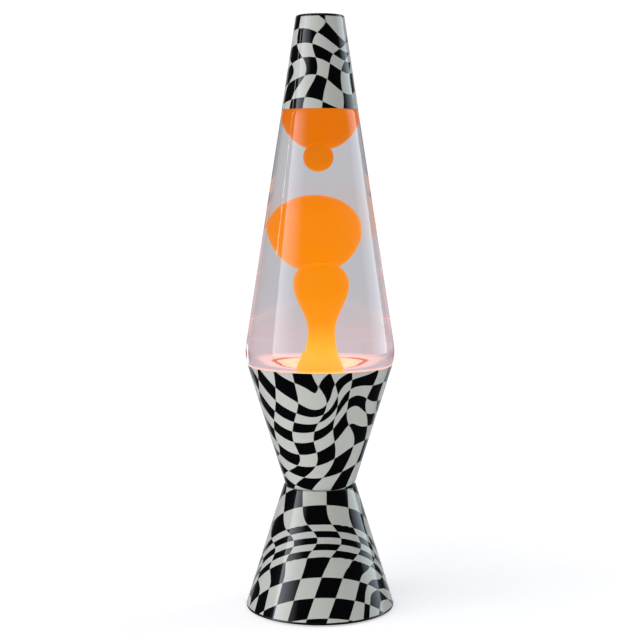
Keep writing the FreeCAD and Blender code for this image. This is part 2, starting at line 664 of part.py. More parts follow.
# ---------------------------------------------------------------- bottom cover and feet
bp, bpr, bpt = D["base_plate_z"], D["base_plate_radius"], D["base_plate_thick"]
cover = new_body("bottom_cover")
sk = new_sketch(cover, "cover_outline")
outline(sk, [(0, bp + 0.0), (bpr, bp + 0.0), (bpr, bp + bpt), (bpr - 0.75, bp + bpt + 2.6), (bpr - 2.2, bp + bpt + 2.6),
             (bpr - 2.0, bp + bpt), (9.0, bp + bpt), (8.0, bp + bpt + 1.4), (0, bp + bpt + 1.4)])
revolve(cover, sk)
sk = new_sketch(cover, "vent_slot", "XY_Plane", bp + bpt + 0.6)
outline(sk, [(15.0, -1.4), (27.0, -1.4, 1.45, 1), (27.0, 1.4), (15.0, 1.4, 1.45, 1)])
v = pocket(cover, sk, bpt + 1.4, "vent")
polar(cover, [v], 12)
keep(cover)
foot = turned("one_foot", [(0, 0), (D["pad_radius"] - 0.4, 0), (D["pad_radius"], 0.5), (D["pad_radius"], bp + 0.0), (0, bp + 0.0)])
foot.Placement = Placement(Vector(D["pad_circle"].v, 0, 0), Rotation())
bind(foot, "Placement.Base.x", D["pad_circle"])
around("rubber_feet", foot, 4, 45.0)

# ---------------------------------------------------------------- checks and export
doc.recompute()
bad = [o.Label for o in doc.Objects if any(s in o.State for s in ("Invalid", "Error"))]
if bad:
    raise RuntimeError("these objects failed: %s" % bad)
for o in FINAL:
    s = o.Shape
    if s.isNull() or not s.isValid() or not s.Solids or min(x.Volume for x in s.Solids) <= 0:
        raise RuntimeError("%s has no valid solid" % o.Label)
old = [n for n in os.listdir("parts") if n.endswith(".step")]
for n in old:
    os.remove(os.path.join("parts", n))
for o in FINAL:
    s = o.Shape
    (s.Solids[0] if len(s.Solids) == 1 else Part.makeCompound(s.Solids)).exportStep("parts/%s.step" % o.Label)
    b = s.optimalBoundingBox() if hasattr(s, "optimalBoundingBox") else s.BoundBox
    print("%-18s solids %2d  volume %10.1f  z %.1f..%.1f" % (o.Label, len(s.Solids), s.Volume, b.ZMin, b.ZMax))
print("wrote %d sub-parts" % len(FINAL))
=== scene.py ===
import bpy
import math
import numpy as np
from mathutils import Matrix, Vector


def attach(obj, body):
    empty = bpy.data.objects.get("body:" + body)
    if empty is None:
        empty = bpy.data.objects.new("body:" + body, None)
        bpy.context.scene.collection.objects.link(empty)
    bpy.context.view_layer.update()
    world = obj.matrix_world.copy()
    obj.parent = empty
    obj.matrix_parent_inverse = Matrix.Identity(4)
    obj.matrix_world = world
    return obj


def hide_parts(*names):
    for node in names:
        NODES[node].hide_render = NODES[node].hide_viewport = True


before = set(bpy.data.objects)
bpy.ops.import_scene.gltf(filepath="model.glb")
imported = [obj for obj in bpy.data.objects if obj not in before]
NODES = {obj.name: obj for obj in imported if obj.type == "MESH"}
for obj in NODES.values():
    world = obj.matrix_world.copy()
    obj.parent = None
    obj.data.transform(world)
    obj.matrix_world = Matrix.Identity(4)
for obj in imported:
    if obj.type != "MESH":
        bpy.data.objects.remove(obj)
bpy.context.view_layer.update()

MM = 0.001
SEGS = 224


# ------------------------------------------------------------------ node helpers
class Tree:
    """Short-hand for building a shader tree."""

    def __init__(self, name, displaced=False):
        self.mat = bpy.data.materials.new(name)
        self.mat.use_nodes = True
        self.nt = self.mat.node_tree
        self.nt.nodes.clear()
        self.out = self.nt.nodes.new("ShaderNodeOutputMaterial")
        self._coord = None

    def node(self, kind, **props):
        n = self.nt.nodes.new(kind)
        for k, v in props.items():
            setattr(n, k, v)
        return n

    def put(self, socket, value):
        if value is None:
            return
        if isinstance(value, bpy.types.NodeSocket):
            self.nt.links.new(value, socket)
        elif isinstance(value, (tuple, list)):
            value = list(value)
            if len(value) == 3 and len(socket.default_value) == 4:
                value.append(1.0)
            socket.default_value = value
        else:
            socket.default_value = value

    def math(self, op, a, b=None, c=None, clamp=False):
        n = self.node("ShaderNodeMath", operation=op, use_clamp=clamp)
        for s, v in zip(n.inputs, (a, b, c)):
            self.put(s, v)
        return n.outputs[0]

    def vmath(self, op, a, b=None, scale=None):
        n = self.node("ShaderNodeVectorMath", operation=op)
        self.put(n.inputs[0], a)
        if b is not None:
            self.put(n.inputs[1], b)
        if scale is not None:
            self.put(n.inputs["Scale"], scale)
        return n.outputs["Value"] if op in ("LENGTH", "DOT_PRODUCT", "DISTANCE") else n.outputs["Vector"]

    def coord(self, which="Object"):
        if self._coord is None:
            self._coord = self.node("ShaderNodeTexCoord")
        return self._coord.outputs[which]

    def split(self, v):
        n = self.node("ShaderNodeSeparateXYZ")
        self.put(n.inputs[0], v)
        return n.outputs

    def join(self, x, y, z):
        n = self.node("ShaderNodeCombineXYZ")
        for s, v in zip(n.inputs, (x, y, z)):
            self.put(s, v)
        return n.outputs[0]

    def noise(self, scale, detail=3.0, rough=0.55, vec=None, dist=0.0):
        n = self.node("ShaderNodeTexNoise")
        self.put(n.inputs["Vector"], self.coord() if vec is None else vec)
        n.inputs["Scale"].default_value = scale
        n.inputs["Detail"].default_value = detail
        n.inputs["Roughness"].default_value = rough
        n.inputs["Distortion"].default_value = dist
        return n.outputs["Fac"]

    def remap(self, v, a, b, c, d, smooth=True):
        n = self.node("ShaderNodeMapRange", interpolation_type="SMOOTHSTEP" if smooth else "LINEAR")
        for s, x in zip(n.inputs[:5], (v, a, b, c, d)):
            self.put(s, x)
        return n.outputs[0]

    def mix(self, fac, a, b, blend="MIX"):
        n = self.node("ShaderNodeMix", data_type="RGBA", blend_type=blend)
        self.put(n.inputs[0], fac)
        self.put(n.inputs[6], a)
        self.put(n.inputs[7], b)
        return n.outputs[2]

    def ramp(self, fac, stops, interp="LINEAR"):
        n = self.node("ShaderNodeValToRGB")
        n.color_ramp.interpolation = interp
        els = n.color_ramp.elements
        while len(els) < len(stops):
            els.new(0.5)
        for e, (p, c) in zip(els, stops):
            e.position = p
            e.color = (*c, 1.0)
        self.put(n.inputs[0], fac)
        return n.outputs[0]

    def bump(self, height, strength=0.1, distance=0.0005, normal=None):
        n = self.node("ShaderNodeBump")
        n.inputs["Strength"].default_value = strength
        n.inputs["Distance"].default_value = distance
        self.put(n.inputs["Height"], height)
        if normal is not None:
            self.put(n.inputs["Normal"], normal)
        return n.outputs[0]

    def principled(self, **inp):
        n = self.node("ShaderNodeBsdfPrincipled")
        for k, v in inp.items():
            self.put(n.inputs[k.replace("_", " ")], v)
        return n

    def surface(self, shader):
        self.nt.links.new(shader.outputs[0] if hasattr(shader, "outputs") else shader, self.out.inputs["Surface"])
        return self.mat


def srgb(r, g, b):
    """A display colour, 0 to 255, as linear light."""
    return tuple(((c / 255) / 12.92 if c / 255 <= 0.04045 else ((c / 255 + 0.055) / 1.055) ** 2.4) for c in (r, g, b))


# ------------------------------------------------------------------ mesh helpers
def turned(name, rings, segs=SEGS, mats=(), faces_mat=None, warp=None, sharp=32.0, closed=True, shape=None):
    """A piece turned about Z. rings is a list of (radius, height) in mm; closed joins the last ring to the first.
    shape(phi, r, z) may move points: it returns x, y, z in mm. warp(phi, z) gives the print's own coordinates."""
    rings = [(float(r), float(z)) for r, z in rings]
    verts, idx = [], []
    phi = np.linspace(0, 2 * np.pi, segs, endpoint=False) + np.pi / 2  # the seam is at the back, +Y
    for r, z in rings:
        if r <= 1e-6:
            p = (0.0, 0.0, z) if shape is None else tuple(float(v) for v in np.ravel(shape(np.array([0.0]), 0.0, z)))
            idx.append([len(verts)])
            verts.append(tuple(c * MM for c in p))
        else:
            if shape is None:
                x, y, zz = r * np.cos(phi), r * np.sin(phi), np.full(segs, z)
            else:
                x, y, zz = shape(phi, r, z)
            idx.append(list(range(len(verts), len(verts) + segs)))
            verts += [(a * MM, b * MM, c * MM) for a, b, c in zip(x, y, zz)]
    faces, tags, uvs = [], [], []
    n = len(rings)
    pairs = [(i, i + 1) for i in range(n - 1)] + ([(n - 1, 0)] if closed else [])
    turn = np.linspace(0, 2 * np.pi, segs + 1) + np.pi / 2
    for i, j in pairs:
        a, b = idx[i], idx[j]
        if len(a) == 1 and len(b) == 1:
            continue
        for k in range(segs):
            k2 = (k + 1) % segs
            t0, t1 = turn[k], turn[k + 1]
            zi, zj = rings[i][1], rings[j][1]
            if len(a) == 1:
                faces.append((a[0], b[k2], b[k]))
                uvs += [(t0, zi), (t1, zj), (t0, zj)]
            elif len(b) == 1:
                faces.append((a[k], a[k2], b[0]))
                uvs += [(t0, zi), (t1, zi), (t0, zj)]
            else:
                faces.append((a[k], a[k2], b[k2], b[k]))
                uvs += [(t0, zi), (t1, zi), (t1, zj), (t0, zj)]
            tags.append(0 if faces_mat is None else faces_mat[i])
    me = bpy.data.meshes.new(name)
    me.from_pydata(verts, [], faces)
    for m in mats:
        me.materials.append(m)
    me.polygons.foreach_set("material_index", np.array(tags, np.int32))
    me.polygons.foreach_set("use_smooth", np.ones(len(faces), bool))
    uv = me.uv_layers.new(name="UVMap")
    w = np.array(uvs, float)
    if warp is not None:
        # azimuth measured from the front, positive towards +X
        az = (w[:, 0] - np.pi / 2) - np.pi
        u, v = warp(az, w[:, 1])
        w = np.stack([u, v], axis=1)
    else:
        w = np.stack([w[:, 0] / (2 * np.pi), w[:, 1] * 0.01], axis=1)
    uv.data.foreach_set("uv", w.astype(np.float32).ravel())
    me.validate()
    me.set_sharp_from_angle(angle=math.radians(sharp))
    me.update()
    o = bpy.data.objects.new(name, me)
    bpy.context.scene.collection.objects.link(o)
    return o


def path(*pieces):
    """Joins (r, z) points and fillets: a point (r, z, radius) is rounded with that radius."""
    out = []
    n = len(pieces)
    for i, p in enumerate(pieces):
        if len(p) == 2 or i in (0, n - 1):
            out.append((p[0], p[1]))
            continue
        a, b, c = np.array(pieces[i - 1][:2], float), np.array(p[:2], float), np.array(pieces[i + 1][:2], float)
        u, v = (a - b) / np.linalg.norm(a - b), (c - b) / np.linalg.norm(c - b)
        half = math.acos(max(-1, min(1, float(u @ v)))) / 2
        if half > math.radians(89):
            out.append((p[0], p[1]))
            continue
        d = p[2] / math.tan(half)
        d = min(d, 0.49 * np.linalg.norm(a - b), 0.49 * np.linalg.norm(c - b))
        rad = d * math.tan(half)
        centre = b + (u + v) / np.linalg.norm(u + v) * (rad / math.sin(half))
        s, e = b + u * d, b + v * d
        a0, a1 = math.atan2(*(s - centre)[::-1]), math.atan2(*(e - centre)[::-1])
        da = (a1 - a0 + math.pi) % (2 * math.pi) - math.pi
        steps = max(3, int(abs(da) / math.radians(7)))
        out += [(centre[0] + rad * math.cos(a0 + da * t / steps), centre[1] + rad * math.sin(a0 + da * t / steps)) for t in range(steps + 1)]
    return [(max(0.0, float(r)), float(z)) for r, z in out]


def dense(pts, step=1.5):
    """Adds points along the long straight runs, so that the print's own coordinates stay smooth."""
    out = [pts[0]]
    for a, b in zip(pts, pts[1:]):
        k = max(1, int(math.ceil(math.hypot(b[0] - a[0], b[1] - a[1]) / step)))
        out += [(a[0] + (b[0] - a[0]) * t / k, a[1] + (b[1] - a[1]) * t / k) for t in range(1, k + 1)]
    return out


def spline(pts, n=60):
    """A smooth curve through (r, z) points."""
    p = np.array(pts, float)
    t = np.concatenate([[0], np.cumsum(np.linalg.norm(np.diff(p, axis=0), axis=1))])
    m = np.zeros_like(p)
    m[1:-1] = (p[2:] - p[:-2]) / (t[2:] - t[:-2])[:, None]
    m[0], m[-1] = (p[1] - p[0]) / (t[1] - t[0]), (p[-1] - p[-2]) / (t[-1] - t[-2])
    out = []
    for s in np.linspace(0, t[-1], n):
        i = min(len(t) - 2, int(np.searchsorted(t, s, side="right")) - 1)
        hh = t[i + 1] - t[i]
        x = (s - t[i]) / hh
        q = ((2 * x**3 - 3 * x**2 + 1) * p[i] + (x**3 - 2 * x**2 + x) * hh * m[i] + (-2 * x**3 + 3 * x**2) * p[i + 1] + (x**3 - x**2) * hh * m[i + 1])
        out.append((max(0.0, float(q[0])), float(q[1])))
    return out


def done(obj, body, nodes):
    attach(obj, body)
    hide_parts(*nodes)
    return obj


# ------------------------------------------------------------------ the print: a checker on the flat sheet, pushed about
def bell(x, y, cx, cy, rx, ry):
    return np.exp(-(((x - cx) / rx) ** 2) - ((y - cy) / ry) ** 2)


def twirl(x, y, cx, cy, reach, turns):
    g = np.exp(-(((x - cx) ** 2 + (y - cy) ** 2) / reach**2)) * turns * 2 * np.pi
    dx, dy = x - cx, y - cy
    return cx + dx * np.cos(g) - dy * np.sin(g), cy + dx * np.sin(g) + dy * np.cos(g)


def squeeze(x, y, cx, cy, reach, k):
    g = 1 + k * np.exp(-(((x - cx) ** 2 + (y - cy) ** 2) / reach**2))
    return cx + (x - cx) * g, cy + (y - cy) * g


def flat(az, z, r_at, slope, apex_up):
    """Where a point of a cone lies on the flat sheet it is rolled from: x to the right of the front, y down the sheet."""
    s = math.sin(math.atan(slope))
    rho = r_at(z) / s
    th = az * s
    x, y = rho * np.sin(th), rho * np.cos(th)
    return (x, y) if apex_up else (x, -y)


def pushed(x, y, base, pushes):
    """A checker's coordinates: an even slope, with a few soft pushes (x, y, reach x, reach y, across, down)."""
    u = base[0] + base[1] * x + base[2] * y
    v = base[3] + base[4] * x + base[5] * y
    for cx, cy, rx, ry, du, dv in pushes:
        g = bell(x, y, cx, cy, rx, ry)
        u, v = u + du * g, v + dv * g
    return u, v


def print_cone(az, z):
    x, y = flat(az, z, lambda t: 46.6 + (22.87 - 46.6) * (t - 1.55) / 75.65, 0.3137, True)
    rho = np.hypot(x, y)
    away = np.clip((np.abs(az) - 1.5) / 1.4, 0, 1)       # towards the back the rows follow the foot
    away = away * away * (3 - 2 * away)
    xr, yr = flat(np.clip(az, -1.5, 1.5), z, lambda t: 46.6 + (22.87 - 46.6) * (t - 1.55) / 75.65, 0.3137, True)
    down = yr - 75.7 - 0.0042 * (xr - 3.0) ** 2
    down = down * (1 - away) + (rho - 76.5) * away
    lean = 4.0 + 9.4 * np.exp(-(((down - 29.5) / 9.5) ** 2)) - 0.37 * np.clip(down - 44.0, 0, None)
    wide = 15.0 - 2.0 * np.clip((down - 38.0) / 10.0, 0, 1)
    u = 2.0 + (x - lean) / wide
    u = u + 1.5 / (1 + np.exp(-(x - 31.0) / 2.2)) * np.clip((down - 44.0) / 14.0, 0, 1)
    u = u - 0.5 / (1 + np.exp((x + 36.0) / 6.0)) * np.clip((down - 34.0) / 16.0, 0, 1)
    v = (down - 8.3) / 12.2 + 1.0 + 3.42 * np.clip((down - 20.0) / 19.3, 0, 1)
    return u + 1.0, v


def print_cup(az, z):
    x, y = flat(az, z, lambda t: 20.65 + (45.1 - 20.65) * (t - 75.1) / 78.28, 0.31234, False)
    y = y + 151.2                                      # 0 at the rim, 82 at the waist
    u, v = pushed(x, y, (1.29, 0.089, 0.006, -0.64, -0.02, 0.109), [
        (15.2, 22.3, 13.9, 16.3, 0.98, 3.2), (31.5, 47.3, 35.1, 26.6, -1.62, 1.66), (-18.1, 20.4, 30.4, 40.0, -0.89, -1.62),
        (-15.1, 60.7, 24.6, 12.2, -0.94, -0.25), (6.6, 20.1, 14.7, 13.5, -1.26, -2.72), (55.2, 3.9, 40.0, 20.6, -2.05, 2.13),
        (-78.0, 40.0, 22.0, 20.0, 1.1, -0.9), (86.0, 66.0, 20.0, 22.0, -0.8, 1.0)])
    return u, v


def print_cap(az, z):
    x, y = flat(az, z, lambda t: 23.55 + (14.85 - 23.55) * (t - 311.0) / 55.6, 0.1565, True)
    y = y - 96.0
    u, v = pushed(x, y, (0.28, 0.095, 0.013, -0.62, -0.002, 0.091), [
        (-9.1, 32.2, 21.2, 12.7, -2.08, -0.41), (16.6, 30.7, 30.0, 17.0, 3.0, 2.18), (18.3, 24.1, 18.5, 28.4, -2.68, -2.69),
        (-56.0, 26.0, 20.0, 16.0, 1.2, -1.0)])
    return u, v


# ------------------------------------------------------------------ materials
def printed_metal(name):
    """Sheet metal with a checker print under clear lacquer; the inside is bare tin."""
    t = Tree(name)
    uv = t.split(t.coord("UV"))
    fine = t.noise(900.0, 2.0, 0.5)
    wob = t.math("MULTIPLY", t.math("SUBTRACT", fine, 0.5), 0.008)
    su = t.math("SINE", t.math("MULTIPLY", t.math("ADD", uv[0], wob), math.pi))
    sv = t.math("SINE", t.math("MULTIPLY", t.math("ADD", uv[1], wob), math.pi))
    sign = t.math("MULTIPLY", t.math("MULTIPLY", su, sv), 40.0)
    cell = t.remap(sign, -0.6, 0.6, 0.0, 1.0)
    mottle = t.noise(60.0, 4.0, 0.6)
    light = t.mix(mottle, srgb(213, 216, 205), srgb(218, 221, 211))
    dark = t.mix(mottle, srgb(2, 2, 4), srgb(5, 5, 8))
    base = t.mix(cell, dark, light)
    peel = t.noise(420.0, 2.0, 0.5)
    wave = t.noise(28.0, 1.0, 0.5)
    h = t.math("ADD", t.math("MULTIPLY", peel, 0.35), t.math("MULTIPLY", wave, 1.0))
    dust = t.noise(1500.0, 2.0, 0.7)
    rough = t.remap(dust, 0.35, 0.8, 0.24, 0.30)
    p = t.principled(Base_Color=base, Roughness=rough, Normal=t.bump(h, 0.008, 0.0003))
    p.inputs["Specular IOR Level"].default_value = 0.06
    p.inputs["IOR"].default_value = 1.5
    p.inputs["Coat Weight"].default_value = 1.0
    p.inputs["Coat Roughness"].default_value = 0.05
    p.inputs["Coat IOR"].default_value = 1.5
    t.nt.links.new(t.bump(wave, 0.03, 0.0004), p.inputs["Coat Normal"])
    return t.surface(p)


def tin(name, tone=(0.55, 0.55, 0.54), lit=0.0):
    t = Tree(name)
    n = t.noise(90.0, 5.0, 0.6)
    streak = t.noise(30.0, 3.0, 0.6, vec=t.vmath("MULTIPLY", t.coord(), (1.0, 1.0, 14.0)))
    base = t.mix(n, tuple(c * 0.82 for c in tone), tone)
    rough = t.remap(streak, 0.3, 0.7, 0.28, 0.46)
    p = t.principled(Base_Color=base, Metallic=1.0, Roughness=rough, Normal=t.bump(streak, 0.06, 0.0002))
    if lit:
        # warm light of the bulb, strongest level with it and above
        height = t.split(t.coord())[2]
        t.put(p.inputs["Emission Color"], t.mix(t.remap(height, 0.085, 0.120, 0.25, 1.0), (0.0, 0.0, 0.0), (1.0, 0.62, 0.36)))
        p.inputs["Emission Strength"].default_value = lit
    return t.surface(p)


# Glossy black for the band over the cap's top rounding and for the cone's rolled foot; on the foot the black is painted
# shade, standing in for the dark underside of the curl.
def edge_black(name):
    t = Tree(name)
    n = t.noise(300.0, 3.0, 0.6)
    p = t.principled(Base_Color=t.mix(n, srgb(8, 8, 10), srgb(20, 20, 23)), Roughness=t.remap(n, 0.3, 0.7, 0.22, 0.36), Normal=t.bump(n, 0.05, 0.0002))
    p.inputs["Coat Weight"].default_value = 0.6
    p.inputs["Coat Roughness"].default_value = 0.08
    return t.surface(p)


def clear_glass(name, ior, tint=(1, 1, 1), glow=None):
    t = Tree(name)
    n = t.noise(14.0, 2.0, 0.5)
    f = t.noise(600.0, 2.0, 0.6)
    p = t.principled(Base_Color=t.mix(n, tint, tuple(c * 0.985 for c in tint)), Roughness=t.remap(f, 0.55, 0.85, 0.0, 0.03), Normal=t.bump(n, 0.05, 0.0006))
    p.inputs["Transmission Weight"].default_value = 1.0
    p.inputs["IOR"].default_value = ior
    if glow is not None:
        # light of the wax scattered low in the globe
        height = t.split(t.coord())[2]
        t.put(p.inputs["Emission Color"], t.mix(t.remap(height, glow[0], glow[1], 1.0, 0.0), (0.0, 0.0, 0.0), glow[2]))
        p.inputs["Emission Strength"].default_value = 1.0
    return t.surface(p)


def glow_wax(name, stops, strength=1.0, zlo=0.13, zhi=0.32, halo=None):
    """Warm wax lit from below: colour follows the height."""
    t = Tree(name)
    pos = t.split(t.coord())
    swirl = t.noise(26.0, 3.0, 0.55, dist=0.6)
    height = t.remap(t.math("ADD", pos[2], t.math("MULTIPLY", t.math("SUBTRACT", swirl, 0.5), 0.012)), zlo, zhi, 0.0, 1.0, smooth=False)
    hue = t.ramp(height, stops)
    glow = t.mix(t.math("MULTIPLY", t.noise(70.0, 3.0, 0.5), 0.05), hue, t.mix(0.5, hue, srgb(255, 176, 30)))
    if halo is not None:
        # the pool glows paler away from the middle
        away = t.vmath("LENGTH", t.join(pos[0], pos[1], 0.0))
        paler = t.ramp(t.remap(away, halo[0], halo[1], 0.0, 1.0, smooth=False), halo[2])
        flank = t.remap(t.math("ADD", pos[2], t.math("MULTIPLY", swirl, 0.003)), 0.1475, 0.1520, 1.0, 0.0)
        glow = t.mix(flank, paler, t.mix(swirl, srgb(250, 134, 4), srgb(252, 152, 20)))   # its flank is plain lit wax
    fine = t.noise(160.0, 3.0, 0.5)
    p = t.principled(Base_Color=t.mix(fine, srgb(70, 26, 3), srgb(80, 32, 5)), Roughness=t.remap(fine, 0.3, 0.7, 0.42, 0.55), Normal=t.bump(t.noise(40.0, 2.0, 0.5), 0.08, 0.0006))
    p.inputs["Specular IOR Level"].default_value = 0.12
    t.put(p.inputs["Emission Color"], glow)
    p.inputs["Emission Strength"].default_value = strength
    return t.surface(p)


def plastic(name, a, b, rough=(0.3, 0.45), grain=800.0, coat=0.0):
    t = Tree(name)
    n = t.noise(70.0, 4.0, 0.6)
    g = t.noise(grain, 3.0, 0.6)
    p = t.principled(Base_Color=t.mix(n, a, b), Roughness=t.remap(g, 0.3, 0.7, *rough), Normal=t.bump(g, 0.12, 0.0002))
    p.inputs["Coat Weight"].default_value = coat
    return t.surface(p)


def metal(name, a, b, rough=(0.2, 0.36), scale=60.0, stretch=(1, 1, 18)):
    t = Tree(name)
    n = t.noise(scale, 4.0, 0.6)
    s = t.noise(scale, 4.0, 0.65, vec=t.vmath("MULTIPLY", t.coord(), stretch))
    spots = t.remap(t.noise(260.0, 4.0, 0.7), 0.58, 0.7, 0.0, 0.5)
    base = t.mix(spots, t.mix(n, a, b), tuple(c * 0.6 for c in a))
    p = t.principled(Base_Color=base, Metallic=1.0, Roughness=t.remap(s, 0.3, 0.7, *rough), Normal=t.bump(s, 0.08, 0.0002))
    return t.surface(p)


M = {}
M["print"] = printed_metal("printed_checker")
M["tin"] = tin("bare_tin")
M["tin_lit"] = tin("bare_tin_in_lamplight", lit=0.75)
M["edge"] = edge_black("black_edge_and_painted_shade")
M["glass_out"] = clear_glass("globe_glass_outer", 1.5)
M["glass_in"] = clear_glass("globe_glass_wetted", 1.5 / 1.333, glow=(0.152, 0.203, (0.078, 0.014, 0.020)))
M["glass_dry"] = clear_glass("globe_glass_dry", 1.5)
M["glass_seat"] = clear_glass("globe_glass_on_the_rim", 1.5, glow=(0.1546, 0.1556, (0.36, 0.13, 0.055)))
M["fluid"] = clear_glass("fluid_surface", 1.333)
WAX = [(0.0, srgb(253, 204, 80)), (0.14, srgb(253, 198, 62)), (0.2, srgb(253, 182, 36)), (0.27, srgb(252, 152, 4)), (0.45, srgb(251, 142, 2)), (0.68, srgb(250, 134, 1)), (0.79, srgb(226, 120, 2)), (0.86, srgb(227, 114, 0)), (1.0, srgb(230, 114, 0))]
BLOB = [(0.0, srgb(246, 134, 1)), (0.4, srgb(246, 134, 1)), (0.48, srgb(250, 140, 1)), (0.6, srgb(249, 137, 1)), (0.68, srgb(243, 128, 1)), (1.0, srgb(240, 124, 1))]
M["wax"] = glow_wax("glowing_wax", WAX)
M["blob"] = glow_wax("glowing_wax_blob", BLOB)
M["pool"] = glow_wax("glowing_pool", WAX, halo=(0.007, 0.037, [(0.0, srgb(253, 196, 66)), (0.11, srgb(253, 188, 56)), (0.2, srgb(253, 164, 50)), (0.36, srgb(252, 162, 84)), (0.58, srgb(248, 176, 136)), (0.82, srgb(228, 186, 176)), (1.0, srgb(212, 192, 190))]))
M["lacquer"] = plastic("crown_lacquer", srgb(26, 26, 28), srgb(38, 38, 41), (0.2, 0.35), 500.0, 0.5)
M["liner"] = plastic("soft_liner", srgb(206, 205, 198), srgb(222, 221, 215), (0.5, 0.65))
M["phenolic"] = plastic("moulded_phenolic", srgb(18, 17, 17), srgb(30, 28, 27), (0.25, 0.4), 600.0, 0.3)
M["cover"] = plastic("matt_cover", srgb(20, 20, 21), srgb(31, 31, 33), (0.5, 0.68), 1400.0)
M["rubber"] = plastic("soft_rubber", srgb(20, 20, 20), srgb(34, 33, 32), (0.62, 0.8), 900.0)
M["zinc"] = metal("bright_zinc", (0.62, 0.63, 0.62), (0.74, 0.75, 0.73))
M["wire"] = metal("drawn_wire", (0.5, 0.5, 0.49), (0.64, 0.63, 0.61))
M["brass"] = metal("stamped_brass", (0.74, 0.53, 0.22), (0.85, 0.66, 0.31))
M["shell"] = metal("rolled_shell", (0.74, 0.74, 0.75), (0.85, 0.85, 0.86), (0.15, 0.3))
M["bulb"] = clear_glass("bulb_glass_wall", 1.2, (0.99, 0.985, 0.97), glow=(0.118, 0.126, (1.0, 0.62, 0.28)))
M["hot"] = metal("hot_filament", (0.7, 0.7, 0.7), (0.8, 0.8, 0.8))
hot = M["hot"].node_tree.nodes.get("Principled BSDF")
hot.inputs["Emission Color"].default_value = (1.0, 0.72, 0.4, 1.0)
hot.inputs["Emission Strength"].default_value = 6.0

# ------------------------------------------------------------------ cap
top = 368.3
outer = dense(path((23.55, 311.05), (14.85 + 0.1565 * 1.2, 367.8 - 1.3), (14.62, 368.05, 1.7), (12.4, 368.16), (0.0, 368.29)), 1.5)
inner = path((0.0, 367.35), (13.2, 367.25, 1.0), (14.0, 366.0), (22.72, 311.25, 0.1), (22.80, 311.0), (23.20, 310.98), (23.48, 311.0))
rings = outer + inner
tags = []
for i, (r, z) in enumerate(rings):
    tags.append((2 if z > 366.2 else 0) if i < len(outer) - 1 else 1)
cap = turned("cap", rings, mats=[M["print"], M["tin"], M["edge"]], faces_mat=tags, warp=print_cap)
done(cap, "cap", ["cap_shell"])

# ------------------------------------------------------------------ cup
outer = dense(path((20.1, 74.62), (20.65, 74.9, 0.4), (45.02, 153.1), (45.1, 153.45)), 1.5)
lip = path((45.1, 153.45), (44.95, 153.74), (44.68, 153.8), (44.4, 153.72), (44.26, 153.4))
inner = path((44.26, 153.4), (20.35, 76.3), (19.8, 75.42, 0.6), (14.35, 75.42), (14.3, 75.3), (14.3, 74.75), (14.4, 74.62))
rings = outer + lip[1:] + inner[1:]
tags = [0 if i < len(outer) else 1 for i in range(len(rings))]
cup = turned("cup", rings, mats=[M["print"], M["tin_lit"]], faces_mat=tags, warp=print_cup)
done(cup, "base", ["cup_shell"])

# ------------------------------------------------------------------ cone
# the rolled foot takes the glossy black: painted shade for the dark underside of the curl
foot = path((43.95, 0.82), (45.8, 0.82), (46.45, 1.05), (46.6, 1.6), (46.35, 2.35))
outer = dense(path((46.35, 2.35), (22.95, 76.95), (22.78, 77.6, 0.5), (22.4, 77.9)), 1.5)
inner = path((22.4, 77.9), (22.05, 77.8), (22.0, 77.3), (45.1, 3.6), (45.2, 2.3, 0.5), (44.4, 1.5), (43.95, 1.45))
rings = foot + outer[1:] + inner[1:]
tags = [(2 if i < len(foot) - 1 else 0 if i < len(foot) + len(outer) - 2 else 1) for i in range(len(rings))]
cone = turned("lower_cone", rings, mats=[M["print"], M["tin"], M["edge"]], faces_mat=tags, warp=print_cone)
done(cone, "base", ["cone_shell"])

# ------------------------------------------------------------------ globe glass
BR, BZ = 46.35, 162.6
out_pts = path((0.0, 130.6), (24.0, 129.3, 20.0), (28.0, 128.55, 6.0), (33.6, 128.6, 4.2), (37.2, 132.6), (43.62, 153.3), (43.75, 154.05, 0.2), (44.9, 154.12))
belly = spline([(44.98, 154.2), (45.75, 156.6), (46.22, 159.4), (46.35, 162.2), (46.22, 165.0), (45.85, 168.0), (45.36, 171.2)], 30)
taper = path((45.36, 171.2), (23.62, 310.2), (23.3, 310.68, 0.4), (22.35, 310.7), (21.7, 318.5), (20.0, 324.5, 8.0), (15.0, 330.0, 6.0), (12.9, 334.5, 4.0),
             (12.9, 338.6), (13.4, 339.4), (13.4, 341.9), (13.0, 342.4), (13.0, 344.6), (12.6, 345.4, 0.7), (11.9, 345.6))
outer = out_pts + belly[1:] + dense(taper, 4.0)[1:]
dry = path((11.9, 345.6), (9.3, 345.5, 0.4), (9.2, 344.8), (9.2, 334.0, 4.0), (13.0, 328.6, 9.0), (18.0, 320.6))
wet = path((18.0, 320.6), (20.6, 313.5, 16.0), (21.45, 310.0), (43.05, 171.4))
wet2 = spline([(43.05, 171.4), (43.6, 168.0), (43.95, 165.2), (44.05, 162.6), (43.85, 159.4), (43.35, 156.3), (42.55, 153.3)], 26)
wet3 = path((42.55, 153.3), (40.6, 149.6), (35.6, 134.6), (33.9, 131.8, 3.6), (30.5, 131.8), (0.0, 133.5))
inner = dry + dense(wet, 4.0)[1:] + wet2[1:] + wet3[1:]
rings = outer + inner[1:]
tags = [0 if i < len(outer) - 1 + 2 else (2 if i < len(outer) + len(dry) - 2 else 1) for i in range(len(rings))]
tags = [3 if k == 0 and i < len(outer) - 1 and 43.0 < r < 45.3 and 151.5 < z < 155.0 else k for i, (k, (r, z)) in enumerate(zip(tags, rings))]
globe = turned("globe", rings, mats=[M["glass_out"], M["glass_in"], M["glass_dry"], M["glass_seat"]], faces_mat=tags, closed=False, sharp=40)
done(globe, "globe", ["globe_glass"])

# fluid: its free surface with the rounded film climbing the glass
surf = path((0.0, 320.1), (15.6, 320.15), (17.4, 320.5, 2.0), (17.9, 321.4))
fluid = turned("fluid_surface", surf, mats=[M["fluid"]], closed=False)
done(fluid, "globe", ["clear_fluid"])


